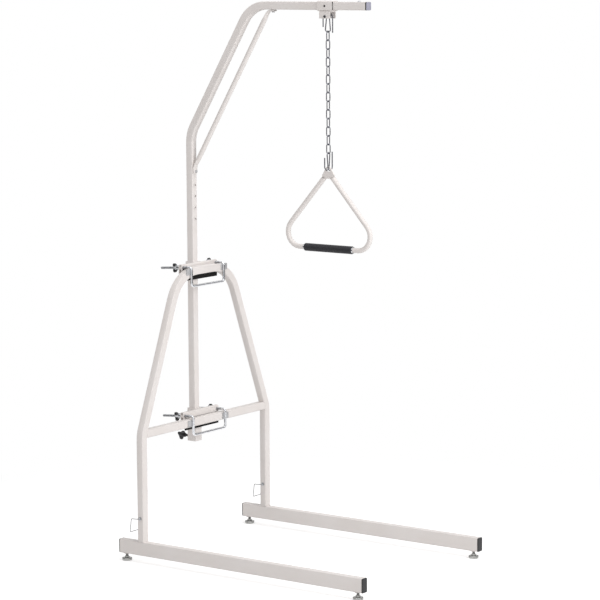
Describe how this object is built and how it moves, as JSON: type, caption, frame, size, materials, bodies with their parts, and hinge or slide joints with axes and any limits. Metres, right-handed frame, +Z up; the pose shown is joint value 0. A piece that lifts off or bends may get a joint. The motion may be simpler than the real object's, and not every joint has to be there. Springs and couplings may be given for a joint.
{
  "type": "freestanding trapeze",
  "caption": "Floor stand with a cranked mast over a two-rail base, a sliding trolley, a link chain and a triangular grab handle for pulling up in bed.",
  "frame": {"origin": "On the floor, under the middle of the whole object's box", "axes": "+Z up, +X from the upright frame towards the front ends of the base rails, +Y across the base"},
  "size_m": [0.9559, 0.6912, 1.7669],
  "materials": {
    "cream_paint": "semi-gloss powder coat",
    "black_plastic": "satin moulded",
    "black_rubber": "matt",
    "zinc_steel": "zinc plated",
    "chrome": "bright plated",
    "foot_steel": "zinc plated"
  },
  "bodies": {
    "stand": {"left_rail": "cream_paint", "right_rail": "cream_paint", "left_rear_plug": "black_plastic", "left_front_plug": "black_plastic", "right_rear_plug": "black_plastic", "right_front_plug": "black_plastic", "stand_frame": "cream_paint", "crossbar": "cream_paint", "upper_bracket": "cream_paint", "lower_bracket": "cream_paint", "upper_pad": "black_rubber", "lower_pad": "black_rubber", "left_snap_pin": "zinc_steel", "right_snap_pin": "zinc_steel"},
    "left_rear_foot": {"left_rear_foot": "foot_steel"},
    "left_front_foot": {"left_front_foot": "foot_steel"},
    "right_rear_foot": {"right_rear_foot": "foot_steel"},
    "right_front_foot": {"right_front_foot": "foot_steel"},
    "left_bail": {"left_snap_bail": "zinc_steel"},
    "right_bail": {"right_snap_bail": "zinc_steel"},
    "mast": {"mast_tube": "cream_paint", "brace": "cream_paint", "lower_brace_screw": "zinc_steel", "upper_brace_screw": "zinc_steel", "arm_end_plug": "black_plastic"},
    "stop_button": {"stop_button": "zinc_steel", "stop_spring": "zinc_steel"},
    "trolley": {"trolley_sleeve": "cream_paint", "trolley_screw": "zinc_steel", "hook_bracket": "cream_paint", "hook_pin": "zinc_steel"},
    "upper_hook": {"upper_hook": "zinc_steel"},
    "link_01": {"chain_link_01": "zinc_steel"},
    "link_02": {"chain_link_02": "zinc_steel"},
    "link_03": {"chain_link_03": "zinc_steel"},
    "link_04": {"chain_link_04": "zinc_steel"},
    "link_05": {"chain_link_05": "zinc_steel"},
    "link_06": {"chain_link_06": "zinc_steel"},
    "link_07": {"chain_link_07": "zinc_steel"},
    "link_08": {"chain_link_08": "zinc_steel"},
    "link_09": {"chain_link_09": "zinc_steel"},
    "link_10": {"chain_link_10": "zinc_steel"},
    "link_11": {"chain_link_11": "zinc_steel"},
    "link_12": {"chain_link_12": "zinc_steel"},
    "link_13": {"chain_link_13": "zinc_steel"},
    "link_14": {"chain_link_14": "zinc_steel"},
    "lower_hook": {"lower_hook": "zinc_steel"},
    "handle": {"handle_tube": "cream_paint", "handle_eye": "cream_paint", "handle_grip": "black_rubber", "left_grip_ring": "chrome", "right_grip_ring": "chrome"},
    "upper_hoop": {"upper_hoop": "chrome"},
    "upper_left_knob": {"upper_left_clamp_knob": "black_plastic"},
    "upper_right_knob": {"upper_right_clamp_knob": "black_plastic"},
    "lower_hoop": {"lower_hoop": "chrome"},
    "lower_left_knob": {"lower_left_clamp_knob": "black_plastic"},
    "lower_right_knob": {"lower_right_clamp_knob": "black_plastic"},
    "lock_knob": {"lock_knob": "black_plastic"}
  },
  "joints": [
    {"name": "left_rear_foot_turn", "type": "hinge", "parent": "stand", "child": "left_rear_foot", "pos_m": [-0.43965, -0.3235, 0], "axis": [0, 0, 1], "continuous": true},
    {"name": "left_front_foot_turn", "type": "hinge", "parent": "stand", "child": "left_front_foot", "pos_m": [0.45335, -0.3235, 0], "axis": [0, 0, 1], "continuous": true},
    {"name": "right_rear_foot_turn", "type": "hinge", "parent": "stand", "child": "right_rear_foot", "pos_m": [-0.43965, 0.3235, 0], "axis": [0, 0, 1], "continuous": true},
    {"name": "right_front_foot_turn", "type": "hinge", "parent": "stand", "child": "right_front_foot", "pos_m": [0.45335, 0.3235, 0], "axis": [0, 0, 1], "continuous": true},
    {"name": "left_bail_swing", "type": "hinge", "parent": "stand", "child": "left_bail", "pos_m": [-0.37285, -0.3235, 0.144], "axis": [0, 1, 0], "range_deg": [-18, 125]},
    {"name": "right_bail_swing", "type": "hinge", "parent": "stand", "child": "right_bail", "pos_m": [-0.37285, 0.3235, 0.144], "axis": [0, 1, 0], "range_deg": [-18, 125]},
    {"name": "mast_height", "type": "slide", "parent": "stand", "child": "mast", "axis": [0, 0, 1], "range_m": [-0.12, 0]},
    {"name": "stop_button_press", "type": "slide", "parent": "mast", "child": "stop_button", "axis": [0, 0, 1], "range_m": [-0.0036, 0], "stiffness_N_per_m": 600, "springref_m": 0.002, "deforming": ["stop_spring"]},
    {"name": "trolley_slide", "type": "slide", "parent": "mast", "child": "trolley", "axis": [1, 0, 0], "range_m": [-0.17, 0.08]},
    {"name": "upper_hook_swing", "type": "hinge", "parent": "trolley", "child": "upper_hook", "pos_m": [0.12295, 0, 1.71802], "axis": [0, 1, 0], "range_deg": [-20, 20]},
    {"name": "link_01_swing", "type": "hinge", "parent": "upper_hook", "child": "link_01", "pos_m": [0.12295, 0, 1.66982], "axis": [1, 0, 0], "range_deg": [-8, 8]},
    {"name": "link_02_swing", "type": "hinge", "parent": "link_01", "child": "link_02", "pos_m": [0.12295, 0, 1.64332], "axis": [0, 1, 0], "range_deg": [-8, 8]},
    {"name": "link_03_swing", "type": "hinge", "parent": "link_02", "child": "link_03", "pos_m": [0.12295, 0, 1.61662], "axis": [1, 0, 0], "range_deg": [-8, 8]},
    {"name": "link_04_swing", "type": "hinge", "parent": "link_03", "child": "link_04", "pos_m": [0.12295, 0, 1.58993], "axis": [0, 1, 0], "range_deg": [-8, 8]},
    {"name": "link_05_swing", "type": "hinge", "parent": "link_04", "child": "link_05", "pos_m": [0.12295, 0, 1.56323], "axis": [1, 0, 0], "range_deg": [-8, 8]},
    {"name": "link_06_swing", "type": "hinge", "parent": "link_05", "child": "link_06", "pos_m": [0.12295, 0, 1.53652], "axis": [0, 1, 0], "range_deg": [-8, 8]},
    {"name": "link_07_swing", "type": "hinge", "parent": "link_06", "child": "link_07", "pos_m": [0.12295, 0, 1.50982], "axis": [1, 0, 0], "range_deg": [-8, 8]},
    {"name": "link_08_swing", "type": "hinge", "parent": "link_07", "child": "link_08", "pos_m": [0.12295, 0, 1.48313], "axis": [0, 1, 0], "range_deg": [-8, 8]},
    {"name": "link_09_swing", "type": "hinge", "parent": "link_08", "child": "link_09", "pos_m": [0.12295, 0, 1.45643], "axis": [1, 0, 0], "range_deg": [-8, 8]},
    {"name": "link_10_swing", "type": "hinge", "parent": "link_09", "child": "link_10", "pos_m": [0.12295, 0, 1.42972], "axis": [0, 1, 0], "range_deg": [-8, 8]},
    {"name": "link_11_swing", "type": "hinge", "parent": "link_10", "child": "link_11", "pos_m": [0.12295, 0, 1.40302], "axis": [1, 0, 0], "range_deg": [-8, 8]},
    {"name": "link_12_swing", "type": "hinge", "parent": "link_11", "child": "link_12", "pos_m": [0.12295, 0, 1.37633], "axis": [0, 1, 0], "range_deg": [-8, 8]},
    {"name": "link_13_swing", "type": "hinge", "parent": "link_12", "child": "link_13", "pos_m": [0.12295, 0, 1.34963], "axis": [1, 0, 0], "range_deg": [-8, 8]},
    {"name": "link_14_swing", "type": "hinge", "parent": "link_13", "child": "link_14", "pos_m": [0.12295, 0, 1.32292], "axis": [0, 1, 0], "range_deg": [-8, 8]},
    {"name": "lower_hook_swing", "type": "hinge", "parent": "link_14", "child": "lower_hook", "pos_m": [0.12295, 0, 1.29622], "axis": [1, 0, 0], "range_deg": [-12, 12]},
    {"name": "handle_swing", "type": "hinge", "parent": "lower_hook", "child": "handle", "pos_m": [0.12295, 0, 1.24619], "axis": [1, 0, 0], "range_deg": [-8, 8]},
    {"name": "upper_hoop_slide", "type": "slide", "parent": "stand", "child": "upper_hoop", "axis": [0.9972, 0, 0.075], "range_m": [0, 0.03]},
    {"name": "upper_left_knob_turn", "type": "hinge", "parent": "stand", "child": "upper_left_knob", "pos_m": [-0.40214, -0.084, 0.91523], "axis": [0.9972, 0, 0.075], "continuous": true},
    {"name": "upper_right_knob_turn", "type": "hinge", "parent": "stand", "child": "upper_right_knob", "pos_m": [-0.40214, 0.084, 0.91523], "axis": [0.9972, 0, 0.075], "continuous": true},
    {"name": "lower_hoop_slide", "type": "slide", "parent": "stand", "child": "lower_hoop", "axis": [0.9972, 0, 0.075], "range_m": [0, 0.03]},
    {"name": "lower_left_knob_turn", "type": "hinge", "parent": "stand", "child": "lower_left_knob", "pos_m": [-0.40214, -0.084, 0.43273], "axis": [0.9972, 0, 0.075], "continuous": true},
    {"name": "lower_right_knob_turn", "type": "hinge", "parent": "stand", "child": "lower_right_knob", "pos_m": [-0.40214, 0.084, 0.43273], "axis": [0.9972, 0, 0.075], "continuous": true},
    {"name": "lock_knob_turn", "type": "hinge", "parent": "stand", "child": "lock_knob", "pos_m": [-0.47785, 0, 0.352], "axis": [1, 0, 0], "continuous": true}
  ]
}
